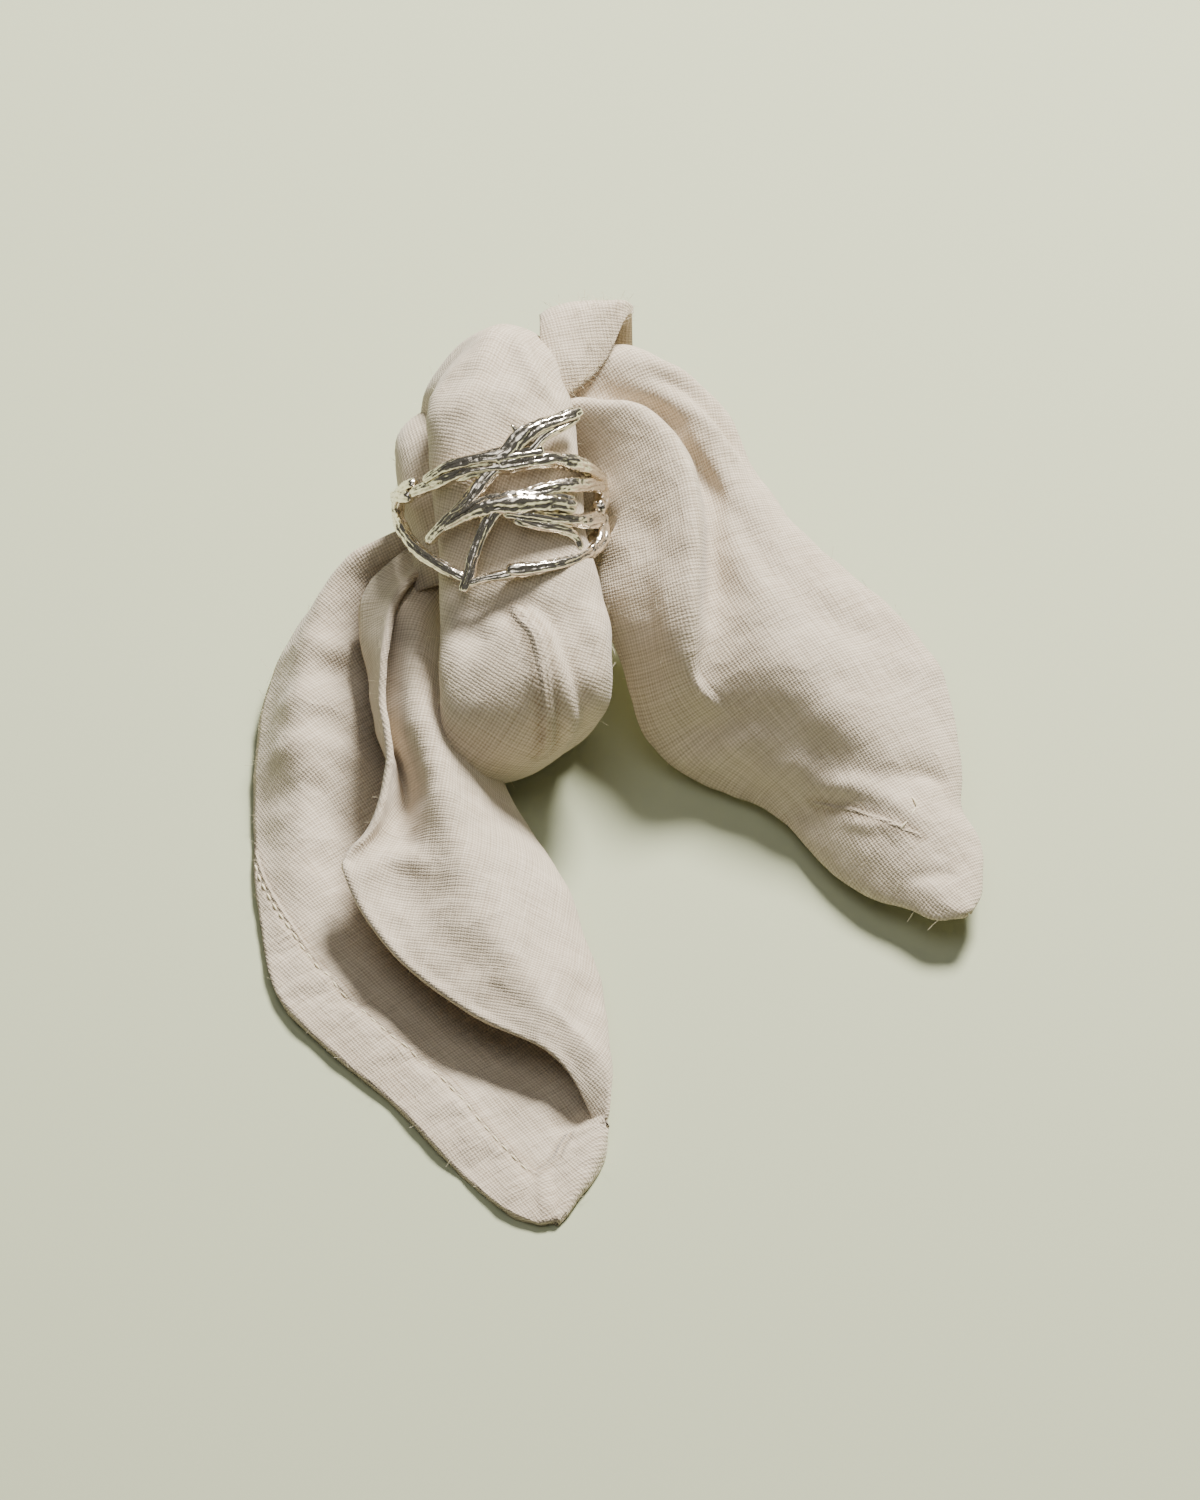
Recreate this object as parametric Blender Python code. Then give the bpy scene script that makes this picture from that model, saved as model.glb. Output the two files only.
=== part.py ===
"""A linen napkin gathered along its diagonal, looped once and drawn through a cast twig ring.

Two sub-parts: the napkin, one solid with its two tails, its knot and its small standing loop, and the ring, one
casting of crossing twigs. Tables are in millimetres. A row is one section of the draped cloth or one twig.
"""

import math

import bmesh
import bpy
import numpy as np
from mathutils import Vector

MM = 0.001
SHEET = 2.0  # thickness of the napkin's solid where it lies as open cloth
ACROSS_STEP = 3  # mesh steps between two neighbouring points of a section
ALONG_STEP = 4  # mesh steps between two neighbouring rows of a table

# The ring's own frame: its centre, the tilt of its axis above the table, and its radii.
RING_CENTRE = Vector((-23.5, 34.0, 40.0))
RING_TILT = math.radians(32)
RING_RADIUS = 23.9  # to the middle of a twig
CHANNEL_INNER = 20.4
CHANNEL_OUTER = 27.6
TWIG_SIDES = 8
STRAND_SIDES = 16
STRAND_SQUARENESS = 0.8  # under 1, an oval's flanks are fuller than an ellipse's
HEART_SQUARENESS = 0.75
CHANNEL_STEPS = 36  # round the ring
BLOCK_REACH = 250  # of the block that trims the underside
BLOCK_DEPTH = 60

# Each row is an upright slice across the left tail: where the slice stands, the way it faces, then pairs of
# (distance across, height). The cloth runs from its outer edge over the bed, under the turn and back over the
# crown to its free lip.
LEFT_TAIL_COLUMNS = ("x", "y", "heading", "edge", "bed", "floor", "turn", "crown", "lip", "thick")
LEFT_TAIL = (
    (-36, 24, -34, (-9, 20), (-6, 29), (0, 19), (9, 23), (4, 33), (-1, 28), 1.6),
    (-47.0, 25.5, -27, (-13, 15), (-7, 28), (1, 17), (13, 21), (6, 35), (-1, 27), 1.8),
    (-53.6, 19.8, -16, (-20, 8), (-10, 24), (4, 8), (20, 14), (9, 34), (2, 22), SHEET),
    (-54.0, 1.7, -12, (-26, 4), (-14, 20), (4, 4), (26, 10), (14, 32), (4, 18), SHEET),
    (-51.3, -19.5, -2, (-30, 2), (-19, 14), (0, 2), (30, 8), (14, 28), (-1, 18), SHEET),
    (-45.8, -40.5, 2, (-34, 1), (-21, 8), (0, 1), (33, 7), (8, 24), (-13, 16), SHEET),
    (-41.1, -63.9, 9, (-36, 1), (-22, 4), (2, 1), (36, 7), (13, 20), (-5, 13), SHEET),
    (-30.9, -89.9, 8, (-32, 1), (-16, 3), (4, 1), (31, 6), (19, 15), (5, 12), SHEET),
    (-20.3, -112.5, 14, (-23, 1), (-8, 2), (8, 1), (22, 5), (18, 11), (12, 11), SHEET),
    (-12.6, -128.0, 30, (-15, 1), (-6, 1.5), (6, 1), (16, 3), (16, 6), (14, 8), 1.6),
    (-11.8, -143.0, 30, (-4, 1), (-2, 1), (0, 1), (3, 1.2), (4.5, 2.5), (5, 4), 1.4),
)

# The right tail: its outer edge, the broad plain, the valley beside the roll, the roll, the inner edge where the
# cloth turns under, and the under layer back to beneath the outer edge.
RIGHT_TAIL_COLUMNS = (
    "x", "y", "heading", "outer", "plain", "valley", "roll", "inner", "under", "hidden", "thick",
)
RIGHT_TAIL = (
    (-1, 66, 50, (12, 44), (6, 58), (0, 60), (-6, 60), (-12, 50), (-2, 44), (7, 42), 1.8),
    (10, 62, 35, (14, 48), (6, 61), (-1, 59), (-7, 60), (-13, 50), (-2, 46), (9, 44), SHEET),
    (23, 42, 14, (18, 38), (9, 54), (1, 50), (-8, 56), (-16, 40), (-2, 37), (13, 33), SHEET),
    (31, 18.5, 8, (27, 30), (9, 44), (-8, 40), (-18, 46), (-26, 30), (-4, 30), (20, 25), SHEET),
    (43, 3.5, 3, (33, 24), (2, 38), (-18, 31), (-26, 31), (-33, 14), (-6, 22), (24, 18), SHEET),
    (52, -12.4, -2, (31, 18), (9, 30), (-8, 26), (-20, 19), (-31, 3), (-6, 14), (22, 12), SHEET),
    (65, -29.5, 2, (18, 15), (6, 21), (-3, 18), (-10, 13), (-18, 4), (-4, 9), (12, 9), SHEET),
    (74.5, -42, 19, (14, 12), (5, 16), (-2, 14.5), (-8, 11.5), (-13.5, 6), (-3, 7.5), (9, 7), 1.8),
    (83.4, -53.2, 17, (8.5, 11), (4, 13), (0, 13), (-4, 11.8), (-8.5, 8), (-2, 6.8), (5, 6.6), 1.6),
    (88.0, -61.0, 17, (3.5, 10.5), (2, 11.6), (0, 12), (-2, 11.4), (-3.5, 9.4), (-1, 8), (2, 7.8), 1.2),
)

# The small loop that stands above the knot, as upright strips from its tucked foot over the top fold and down.
# x, then (y, z) of the foot, front, top, back and heel
TAB = (
    (-13, (56, 60), (66, 66), (81, 66), (85, 57), (78, 48)),
    (-9, (55, 62), (66, 67), (82, 67), (86, 57), (78, 48)),
    (-1, (58, 60), (68, 66), (83, 66), (87, 56), (78, 46)),
    (6, (64, 56), (72, 62), (83, 64), (87, 55), (79, 45)),
)

# The strand that comes up from under the belly, through the ring and over the back: middle line, half width,
# half thickness.
# x, y, z, half_width, half_thickness
BAND = (
    (-17, 18, 8.0, 19, 7.5),
    (-17, -4, 9.0, 20, 8.5),
    (-17, -16, 22.0, 21, 8.5),
    (-18, -10, 38.0, 20, 8.5),
    (-20, 8, 42.5, 18, 8.5),
    (-22, 26, 49.0, 16.5, 8.5),
    (-24, 43, 60.0, 16.5, 9.0),
    (-24, 58, 62.0, 17, 9.0),
    (-23, 70, 55.0, 17, 9.5),
    (-22, 76, 40.0, 18, 9.5),
    (-22, 72, 22.0, 18, 9.0),
    (-21, 58, 9.5, 19, 8.5),
)

# The small strand behind the band's left edge, from the ring down behind the knot.
# x, y, z, half_width, half_thickness
LOBE = (
    (-34, 40, 40, 10, 9),
    (-39, 54, 42, 11, 10),
    (-40, 65, 37, 11, 10),
    (-34, 72, 26, 12, 9),
    (-28, 66, 14, 12, 9),
)

# The gathered middle of the knot, as upright slices: left and right sides, underside and top.
# It reaches a little below the table top, which trims it flat.
# y, left, right, low, high
HEART = (
    (-10, -30, -6, 10, 34),
    (0, -36, -1, 1, 42),
    (15, -38, 0, -1.5, 46),
    (30, -38, -2, -2, 55),
    (45, -38, 2, -1.5, 62),
    (60, -40, 10, 2, 62),
    (72, -38, 10, 8, 58),
    (80, -28, 2, 20, 48),
)

# The way that the ring keeps clear through the cloth: an angle round the ring, then its low and high end.
# angle, low, high
CHANNEL = (
    (-90, 0, 13),
    (-60, -10, 14),
    (-30, -17, 15),
    (0, -18, 19),
    (45, -15, 27),
    (90, -6, 16),
    (135, -4, 13),
    (180, -3, 12),
    (225, -2, 12),
)

# The ring's twigs: radius of the twig, then (angle round the ring, place along its axis, lift off the ring's
# cylinder) at each bend.
TWIGS = {
    "main": (1.7, ((-62, 6, 0), (-27, 10, 0), (0, 12, 0.4), (26, 14.5, 0.4), (62, 12.5, 0), (92, 8, 0))),
    "back": (1.8, ((88, 8, 0), (130, 5, 0), (175, 4, 0), (220, 6, 0), (262, 8, 0), (300, 6, 0))),
    "spur": (1.5, ((8, 13, 0.6), (10, 19, 1.6), (28, 21.5, 2), (46, 25, 2))),
    "thorn": (0.9, ((11, 18, 1.6), (6, 20.5, 2.2))),
    "left_hoop": (1.2, ((-60, 8, 0), (-88, 5, 0), (-72, -1, 0), (-50, -8, 0), (-32, -12, 0), (-16, -16, 0))),
    "cross": (1.4, ((-4, 10.5, 0), (-15, 5, 0), (-28, -1, 0), (-46, -6, -0.4))),
    "heavy": (2.1, ((-30, -2, 0), (-14, 1.5, 0), (8, 2.5, 0.2), (30, 4, 0.4), (46, 7, 0.3), (76, 9, 0))),
    "second": (1.5, ((-6, -1, 0), (20, 0, 0.3), (48, -0.5, 0.2), (74, 1.5, 0), (80, 5, 0), (84, 9, 0))),
    "left_arm": (1.1, ((-4, -1, 0), (-12, -6, 0), (-15, -11, 0), (-18, -17, 0))),
    "right_arm": (1.4, ((74, 2, 0), (74, -3, 0), (60, -7, 0), (46, -9.5, 0))),
    "low_arch": (
        1.2,
        ((18, -2.5, 0), (36, -3, 0), (48, -5, 0), (46, -9, 0), (26, -12, 0), (0, -13.5, 0), (-16, -15.5, 0)),
    ),
    "low_back": (1.5, ((76, -2, 0), (110, -1, 0), (150, 1, 0), (185, 3, 0))),
}

LINEN = ("linen", (0.60, 0.54, 0.47, 1.0), 0.95, 0.0)
SILVER = ("cast_silver", (0.83, 0.80, 0.74, 1.0), 0.28, 1.0)


def clear_scene():
    for obj in list(bpy.data.objects):
        bpy.data.objects.remove(obj)


def material(settings):
    name, colour, roughness, metallic = settings
    made = bpy.data.materials.new(name)
    made.use_nodes = True
    shader = made.node_tree.nodes["Principled BSDF"]
    shader.inputs["Base Color"].default_value = colour
    shader.inputs["Roughness"].default_value = roughness
    shader.inputs["Metallic"].default_value = metallic
    return made


def curve_through(points, steps):
    """Points of a smooth curve that passes through every given point, with this many steps between two."""
    points = np.asarray(points, float)
    before = 2 * points[:1] - points[1:2]
    after = 2 * points[-1:] - points[-2:-1]
    around = np.concatenate([before, points, after])
    found = []
    for span in range(len(points) - 1):
        a, b, c, d = around[span : span + 4]
        for step in range(steps):
            t = step / steps
            found.append(
                0.5 * (2 * b + (c - a) * t + (2 * a - 5 * b + 4 * c - d) * t**2 + (3 * b - a - 3 * c + d) * t**3)
            )
    found.append(points[-1])
    return np.array(found)


def add_object(name, vertices, faces, smooth=True):
    mesh = bpy.data.meshes.new(name)
    mesh.from_pydata([tuple(Vector(v) * MM) for v in vertices], [], faces)
    built = bmesh.new()
    built.from_mesh(mesh)
    bmesh.ops.recalc_face_normals(built, faces=built.faces)
    built.to_mesh(mesh)
    built.free()
    mesh.polygons.foreach_set("use_smooth", [smooth] * len(mesh.polygons))
    obj = bpy.data.objects.new(name, mesh)
    bpy.context.scene.collection.objects.link(obj)
    return obj


def tube_faces(rings, sides):
    """Faces of a closed tube of rings, with a cap on each end."""
    faces = []
    for ring in range(rings - 1):
        for side in range(sides):
            here = ring * sides + side
            beside = ring * sides + (side + 1) % sides
            faces.append((here, beside, beside + sides, here + sides))
    faces.append(tuple(range(sides))[::-1])
    faces.append(tuple((rings - 1) * sides + side for side in range(sides)))
    return faces


def slice_points(row, columns):
    """World points of an upright slice, from its (distance across, height) pairs."""
    named = dict(zip(columns, row))
    heading = math.radians(named["heading"])
    points = []
    for column in columns[3:-1]:
        across, height = named[column]
        points.append(
            (named["x"] + across * math.cos(heading), named["y"] + across * math.sin(heading), height)
        )
    return points


def thick_sheet(name, sections, thickness):
    """A closed sheet through sections of equally many points, its thickness given for each section."""
    across = np.array([curve_through(section, ACROSS_STEP) for section in sections])
    middle = curve_through(across.reshape(len(sections), -1), ALONG_STEP).reshape(-1, across.shape[1], 3)
    half = curve_through([[value] for value in thickness], ALONG_STEP)[:, :, None] / 2
    rows, columns = middle.shape[:2]
    down, over = np.gradient(middle, axis=0), np.gradient(middle, axis=1)
    normal = np.cross(down, over)
    normal /= np.linalg.norm(normal, axis=2, keepdims=True)
    vertices = np.concatenate([(middle + normal * half).reshape(-1, 3), (middle - normal * half).reshape(-1, 3)])
    back = rows * columns
    faces = []
    for i in range(rows - 1):
        for j in range(columns - 1):
            a = i * columns + j
            quad = (a, a + 1, a + columns + 1, a + columns)
            faces.append(quad)
            faces.append(tuple(back + corner for corner in reversed(quad)))
    border = [(0, j) for j in range(columns - 1)] + [(i, columns - 1) for i in range(rows - 1)]
    border += [(rows - 1, j) for j in range(columns - 1, 0, -1)] + [(i, 0) for i in range(rows - 1, 0, -1)]
    loop = [i * columns + j for i, j in border]
    for a, b in zip(loop, loop[1:] + loop[:1]):
        faces.append((b, a, back + a, back + b))
    return add_object(name, vertices, faces)


def tail(name, table, columns):
    return thick_sheet(name, [slice_points(row, columns) for row in table], [row[-1] for row in table])


def tab():
    sections = []
    for x, *strip in TAB:
        sections.append([(x, y, z) for y, z in strip])
    return thick_sheet("tab", sections, [SHEET] * len(TAB))


def squared(value, squareness):
    """A sine or cosine made fuller, which turns an ellipse into a rounder-cornered oval."""
    return math.copysign(abs(value) ** squareness, value)


def strand(name, table):
    """A gathered strand: an oval tube whose width stays level along X."""
    rows = curve_through(table, 3)
    middle = rows[:, :3]
    along = np.gradient(middle, axis=0)
    vertices = []
    for centre, direction, (half_width, half_thickness) in zip(middle, along, rows[:, 3:]):
        wide = np.array((1.0, 0.0, 0.0)) - direction * direction[0] / direction.dot(direction)
        wide /= np.linalg.norm(wide)
        thick = np.cross(wide, direction)
        thick /= np.linalg.norm(thick)
        for side in range(STRAND_SIDES):
            angle = 2 * math.pi * side / STRAND_SIDES
            out = half_width * math.cos(angle)
            up = half_thickness * squared(math.sin(angle), STRAND_SQUARENESS)
            vertices.append(centre + wide * out + thick * up)
    return add_object(name, vertices, tube_faces(len(rows), STRAND_SIDES))


def heart():
    """The gathered middle: rounded slices that stand on the table."""
    rows = curve_through(HEART, 2)
    vertices = []
    for y, left, right, low, high in rows:
        for side in range(STRAND_SIDES):
            angle = 2 * math.pi * side / STRAND_SIDES
            out = (right - left) / 2 * squared(math.cos(angle), HEART_SQUARENESS)
            up = (high - low) / 2 * squared(math.sin(angle), HEART_SQUARENESS)
            vertices.append(((left + right) / 2 + out, y, (low + high) / 2 + up))
    return add_object("heart", vertices, tube_faces(len(rows), STRAND_SIDES))


def on_ring(angle, along, radius):
    """World point at an angle round the ring from its upper front, a place along its axis and a radius."""
    turn = math.radians(angle)
    axis = Vector((0, math.cos(RING_TILT), math.sin(RING_TILT)))
    front = Vector((0, -math.sin(RING_TILT), math.cos(RING_TILT)))
    side = Vector((1, 0, 0))
    outward = front * math.cos(turn) + side * math.sin(turn)
    return RING_CENTRE + axis * float(along) + outward * float(radius)


def ring_channel():
    """A washer round the ring's axis, which the ring moves in and the cloth keeps out of."""
    rows = curve_through(CHANNEL, 3)
    around = np.linspace(-90, 270, CHANNEL_STEPS, endpoint=False)
    low = np.interp(around, rows[:, 0], rows[:, 1])
    high = np.interp(around, rows[:, 0], rows[:, 2])
    vertices, faces = [], []
    for angle, start, end in zip(around, low, high):
        vertices += [on_ring(angle, along, CHANNEL_INNER) for along in (start, end)]
        vertices += [on_ring(angle, along, CHANNEL_OUTER) for along in (end, start)]
    for step in range(CHANNEL_STEPS):
        here, there = 4 * step, 4 * ((step + 1) % CHANNEL_STEPS)
        for side in range(4):
            beside = (side + 1) % 4
            faces.append((here + side, here + beside, there + beside, there + side))
    return add_object("ring_channel", vertices, faces)


def table_block():
    """All that lies below the table top, so that the napkin rests flat."""
    outline = [(x * BLOCK_REACH, y * BLOCK_REACH) for x, y in ((-1, -1), (1, -1), (1, 1), (-1, 1))]
    corners = [(x, y, z) for z in (-BLOCK_DEPTH, 0) for x, y in outline]
    faces = [(3, 2, 1, 0), (4, 5, 6, 7), (0, 1, 5, 4), (1, 2, 6, 5), (2, 3, 7, 6), (3, 0, 4, 7)]
    return add_object("table_block", corners, faces, smooth=False)


def combine(base, others, operation):
    for other in others:
        modifier = base.modifiers.new(other.name, "BOOLEAN")
        modifier.operation = operation
        modifier.use_self = True
        modifier.object = other
        other.hide_render = True
        other.display_type = "WIRE"


def build_napkin():
    napkin = heart()
    napkin.name = "napkin"
    pieces = [
        strand("band", BAND),
        strand("lobe", LOBE),
        tail("left_tail", LEFT_TAIL, LEFT_TAIL_COLUMNS),
        tail("right_tail", RIGHT_TAIL, RIGHT_TAIL_COLUMNS),
        tab(),
    ]
    combine(napkin, pieces, "UNION")
    combine(napkin, [ring_channel(), table_block()], "DIFFERENCE")
    napkin.data.materials.append(material(LINEN))
    return napkin


def twig(name, radius, bends):
    middle = curve_through(bends, 4)
    centres = [np.array(on_ring(angle, along, RING_RADIUS + lift)) for angle, along, lift in middle]
    directions = np.gradient(np.array(centres), axis=0)
    vertices = []
    for centre, direction in zip(centres, directions):
        outward = centre - np.array(RING_CENTRE)
        wide = np.cross(direction, outward)
        wide /= np.linalg.norm(wide)
        thick = np.cross(wide, direction)
        thick /= np.linalg.norm(thick)
        for side in range(TWIG_SIDES):
            angle = 2 * math.pi * side / TWIG_SIDES
            vertices.append(centre + radius * (wide * math.cos(angle) + thick * math.sin(angle)))
    return add_object(name, vertices, tube_faces(len(centres), TWIG_SIDES))


def build_ring():
    (first, (radius, bends)), *rest = TWIGS.items()
    ring = twig(first, radius, bends)
    ring.name = "twig_ring"
    combine(ring, [twig(name, size, places) for name, (size, places) in rest], "UNION")
    ring.data.materials.append(material(SILVER))
    return ring


def centre_on_base(objects):
    """Moves everything so that the origin is under the middle of the object, on the table."""
    bpy.context.view_layer.update()
    graph = bpy.context.evaluated_depsgraph_get()
    corners = []
    for obj in objects:
        mesh = obj.evaluated_get(graph).to_mesh()
        corners += [vertex.co.copy() for vertex in mesh.vertices]
        obj.evaluated_get(graph).to_mesh_clear()
    low = Vector(min(corner[i] for corner in corners) for i in range(3))
    high = Vector(max(corner[i] for corner in corners) for i in range(3))
    shift = Vector((-(low.x + high.x) / 2, -(low.y + high.y) / 2, -low.z))
    for obj in bpy.data.objects:
        obj.location = shift
    bpy.context.view_layer.update()


clear_scene()
centre_on_base([build_napkin(), build_ring()])
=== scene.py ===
"""The looks of a linen napkin gathered through a cast twig ring.

The cloth is a thin sheet laid over the folds of the CAD napkin: two tails, the gathered strand that loops
through the ring, and the small loop above the knot. Tables are in millimetres, measured as the CAD's
sections are. In the tails' tables each row is an upright slice through the cloth, placed by x, y and
heading, with pairs of (distance across, height).
"""

import math

import bpy
import numpy as np
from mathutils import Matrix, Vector, noise


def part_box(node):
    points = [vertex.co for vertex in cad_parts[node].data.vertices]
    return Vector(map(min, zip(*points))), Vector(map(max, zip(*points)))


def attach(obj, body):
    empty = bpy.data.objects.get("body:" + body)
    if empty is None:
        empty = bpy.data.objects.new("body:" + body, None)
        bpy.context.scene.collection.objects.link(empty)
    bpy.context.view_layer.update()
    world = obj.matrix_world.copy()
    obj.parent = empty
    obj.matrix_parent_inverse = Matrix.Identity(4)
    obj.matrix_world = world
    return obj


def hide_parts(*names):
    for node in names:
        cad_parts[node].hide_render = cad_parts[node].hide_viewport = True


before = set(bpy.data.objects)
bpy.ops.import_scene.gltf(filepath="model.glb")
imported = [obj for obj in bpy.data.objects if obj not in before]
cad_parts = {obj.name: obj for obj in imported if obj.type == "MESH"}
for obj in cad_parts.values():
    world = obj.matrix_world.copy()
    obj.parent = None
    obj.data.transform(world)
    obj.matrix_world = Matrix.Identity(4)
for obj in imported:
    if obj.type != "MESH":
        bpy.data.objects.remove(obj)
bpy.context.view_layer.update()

MM = 0.001
FAR = 1e6  # millimetres, more than any distance here
TINY = 1e-9  # keeps a division away from zero
CLOTH = 0.8  # thickness of the linen
FLOOR_GAP = 0.05  # between the floor and the lowest cloth
BACK_STEP = (0.8, 0.6)  # direction in the flat cloth from a front thread to the same one on the back
FLATTEN_STEP = 2  # grid steps between the points that are laid flat
FLATTEN_ROUNDS = 20

# The left tail's hem. Its places are counted in the rows of LEFT_TAIL.
HEM_WIDTH = 14.0
HEM_THICKNESS = 2.4
HEM_STEEPNESS = 1.5  # of the step from the hem's thickness to the cloth's
KINK_ROW = 5.3  # where the hem comes out from under the fold
HEM_FLAT_ROW = 7.7  # from here on the hem's edge is the tail's edge
CORNER_SHARE = 0.9  # of the rows, after which the far edge is hemmed too
CORNER_ROW = 11.3  # before this row that hem is left out
NO_HEM = 30.0  # millimetres added to keep it out
NO_SEAM = 60.0  # millimetres to the nearest seam on a stretch without one
LIP_THICKNESS = 1.7  # of the narrow rolled edge along the fold's mouth
LIP_WIDTH = 2.0
LIP_LAST_ROW = 11.6

# Gathered strands.
STRAND_COLUMNS = 11  # columns that a strand's creases are counted in
STRAND_FULLNESS = 0.85  # under 1 makes its section squarer than an ellipse
GATHER_FOLDS = 23  # hidden pleats, as many as bring the sheet near the area of its flat cut
GATHER_ROWS = 26
GATHER_INSET = 3.4  # from the strand's skin to the pleats
GATHER_TAPER = 0.75  # how much of the strand's roundness the outer pleats follow
GATHER_CLOTH = 0.35

# Sewn threads and loose fibres.
STITCH_INSET = 1.3  # from the hem's fold to its stitch line
STITCH_LENGTH = 2.6
STITCH_GAP = 0.9
STITCH_RADIUS = 0.3
STITCH_BOW = 0.15  # how far a stitch's ends sink into the cloth
STITCH_STEPS = 6
STITCH_SIDES = 6
HEM_STITCH_START = 0.42  # shares of the left tail's rows
HEM_STITCH_END = 0.93
FIBRES_A_SHEET = 420
FIBRE_LENGTH = 1.5
FIBRE_RADIUS = 0.035
FIBRE_LEAN = 1.3
FIBRE_CURL = 0.7
FIBRE_STEPS = 3
FIBRE_SIDES = 3
FIBRE_SEED = 8

# Where the tables' origin lies: in them the CAD napkin's lowest x and y are at these two places.
TABLE_LEFT = -82.1
TABLE_FRONT = -145.0
NAPKIN_LOW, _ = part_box("napkin")
SHIFT = np.array((NAPKIN_LOW.x / MM - TABLE_LEFT, NAPKIN_LOW.y / MM - TABLE_FRONT, 0.0))

RING_CENTRE = np.array((-23.5, 34.0, 40.0))
RING_TILT = math.radians(32)
RING_RADIUS = 23.9

# x, y, heading; then edge, hump, base, floor, turn, crown, trough, lip.
# A third number is a step ahead of the slice.
LEFT_TAIL = (
    (-37, 38, -34, (-8, 26), (-6, 33), (-2, 33), (1, 27), (7, 27), (7, 32, 5), (-3, 32, 3), (3, 35, 7)),
    (-49, 32, -22, (-14, 18), (-10, 28), (-6, 27), (2, 14), (14, 22), (13, 33.5, 10),
     (-2, 29.5, 7), (8, 35.5, 10)),
    (-54, 22, -10, (-19, 9), (-12, 23), (-2, 19), (9, 8), (19, 14), (14, 33.5, 12), (-1, 25.5, 5),
     (7, 35.5, 8)),
    (-54, 8, -8, (-25, 4), (-15, 20), (-1, 14), (12, 4), (25, 10), (13.5, 32, 10), (0.5, 21, 3),
     (5, 33.5, 5.5)),
    (-53, -6, -6, (-28, 3), (-17, 17), (-2, 11), (11, 3), (28, 9), (13, 30.5, 8), (2, 17.5, 4),
     (2.3, 29.5, 3)),
    (-51, -20, -5, (-30, 2), (-19, 14), (-5, 9), (9, 2), (30, 8), (14, 28, 7), (6, 15.5, 5), (2, 25, 4)),
    (-47, -35, -5, (-34, 1.5), (-23, 10), (-12, 6), (5, 1.5), (34, 7), (13.5, 26, 6), (2, 17, 6),
     (-6, 20.5, 6)),
    (-43, -54, 0, (-36, 1), (-26, 5), (-14, 3), (3, 1), (36, 7), (14.5, 22.5, 3), (-3, 17, 0),
     (-17, 17.5, -3)),
    (-38, -75, 2, (-37, 1), (-24, 3), (-9, 2), (10, 1), (37, 7), (17, 18.5, 0), (2, 15.5, -1),
     (-11, 14, -3)),
    (-31, -92, 1, (-32, 1), (-18, 2.5), (-4, 1.5), (15, 1), (32, 7), (19, 15, -3), (10, 14, -3),
     (0, 12.5, -2)),
    (-23, -108, 1, (-25, 1), (-12, 2), (2, 1.5), (16, 1), (25, 6), (22, 11, -6), (18, 12, -6),
     (13, 11, -5)),
    (-18, -122, 9, (-18, 1), (-8, 1.5), (1, 1.2), (11, 1), (18, 3), (19, 2.2), (18.6, 1.2), (17.6, 0.8)),
    (-14, -138, 14, (-8.4, 1), (-4, 1.3), (0, 1.2), (4, 1), (7.6, 1.5), (8.4, 1.3), (8.2, 0.8), (7.6, 0.6)),
    (-12, -143.8, 14, (-2, 1), (-1.2, 1.1), (-0.4, 1.1), (0.4, 1), (1.3, 1.1), (1.8, 1),
     (1.7, 0.7), (1.4, 0.5)),
)

# x, y, heading; then hidden, under, inner, roll, groove, plain, dip, outer, tuck
RIGHT_TAIL = (
    (-8, 58, 75, (6, 44), (-4, 42), (-13, 48), (-11, 56), (-7, 56), (1, 58), (6, 57), (10, 51), (6, 46)),
    (-3, 67, 61, (6, 46), (-16, 38), (-17, 48), (-13, 58), (-8, 56), (1, 60), (6, 60), (9, 56), (7, 49)),
    (6, 65, 57, (10, 44), (-25, 30), (-21, 43), (-10, 58), (-5, 52.8), (3, 58.2), (9, 57.5),
     (14, 51), (12, 45)),
    (13, 57, 47, (12, 39), (-25, 26), (-21.5, 40), (-3.5, 57), (2, 49), (7, 53.2), (12, 52.5),
     (17, 46), (14, 41)),
    (21, 41, 30, (13, 33), (-20, 24), (-24, 35), (-2, 52.5), (3.5, 44), (8, 46.8), (13, 45.5),
     (19, 39), (15, 34)),
    (26, 25, 20, (17, 28), (-6, 25), (-26.5, 29), (-6, 47), (0, 37.8), (8, 41.5), (18, 39),
     (25.5, 34), (20, 29)),
    (36, 12, 12, (22, 22), (-8, 19), (-31, 20), (-16, 41), (-10, 33.3), (4, 37.8), (22, 33.5),
     (32, 29), (26, 24)),
    (45, 0, 6, (25, 17), (-8, 13), (-34, 9), (-25, 29), (-19, 28), (4, 34.5), (24, 28.5),
     (35, 23), (30, 18)),
    (53, -13, -5, (22, 11), (-5, 9), (-31, 3.5), (-23, 18), (-14, 23), (4, 28.5), (21, 23.5),
     (31, 15), (27, 11)),
    (62, -25, -7, (14, 8), (-4, 7), (-22, 3.5), (-15, 14), (-7, 19), (5, 21.5), (16, 18),
     (22, 12), (18, 8.5)),
    (73, -40, 13, (8, 7), (-3, 7), (-16, 5), (-10, 12), (-4, 15.5), (4, 16.5), (10, 15), (16, 10),
     (13, 7.5)),
    (80, -49.5, 25, (4, 7), (-2, 7), (-10, 7.5), (-6, 11.8), (-2, 13.2), (2, 13.4), (7, 12),
     (10, 9), (8, 7.4)),
    (83.8, -55, 34, (2, 7.5), (-2, 7.5), (-6.8, 8.6), (-4, 10.8), (-2, 11.4), (1, 11.4),
     (4, 10.4), (6, 8.6), (4.5, 7.6)),
    (85.6, -58, 34, (0.4, 8.9), (-0.4, 8.9), (-1.2, 9.2), (-0.8, 9.7), (-0.3, 9.9), (0.3, 9.9),
     (0.8, 9.7), (1.2, 9.3), (0.9, 9)),
)

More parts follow.
